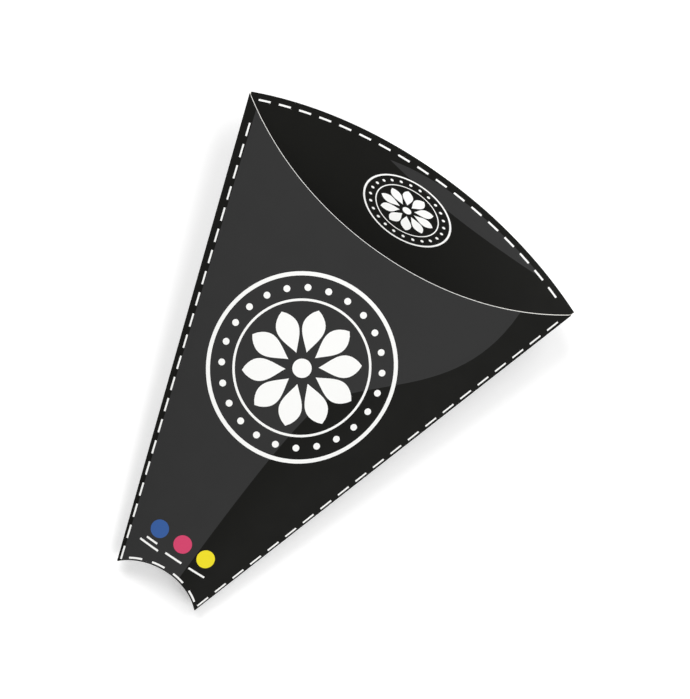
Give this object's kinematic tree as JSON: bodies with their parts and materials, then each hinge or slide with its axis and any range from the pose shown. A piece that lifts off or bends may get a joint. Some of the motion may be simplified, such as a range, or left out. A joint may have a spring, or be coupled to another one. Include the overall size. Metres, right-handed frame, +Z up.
{
  "type": "crepe holder",
  "caption": "Folded board cone sleeve for a crepe: rounded tall back, hollow-cut lower front edge, open notched tip, glued along one side.",
  "frame": {"origin": "on the table, under the middle of the bounding box", "axes": "+Y along the sleeve towards its mouth, +Z up through the front panel, +X across to the glued side fold"},
  "size_m": [0.1628, 0.2092, 0.0346],
  "materials": {
    "coated_board": "printed coated board, satin"
  },
  "bodies": {
    "root": {"folded_sleeve": "coated_board"}
  },
  "joints": []
}
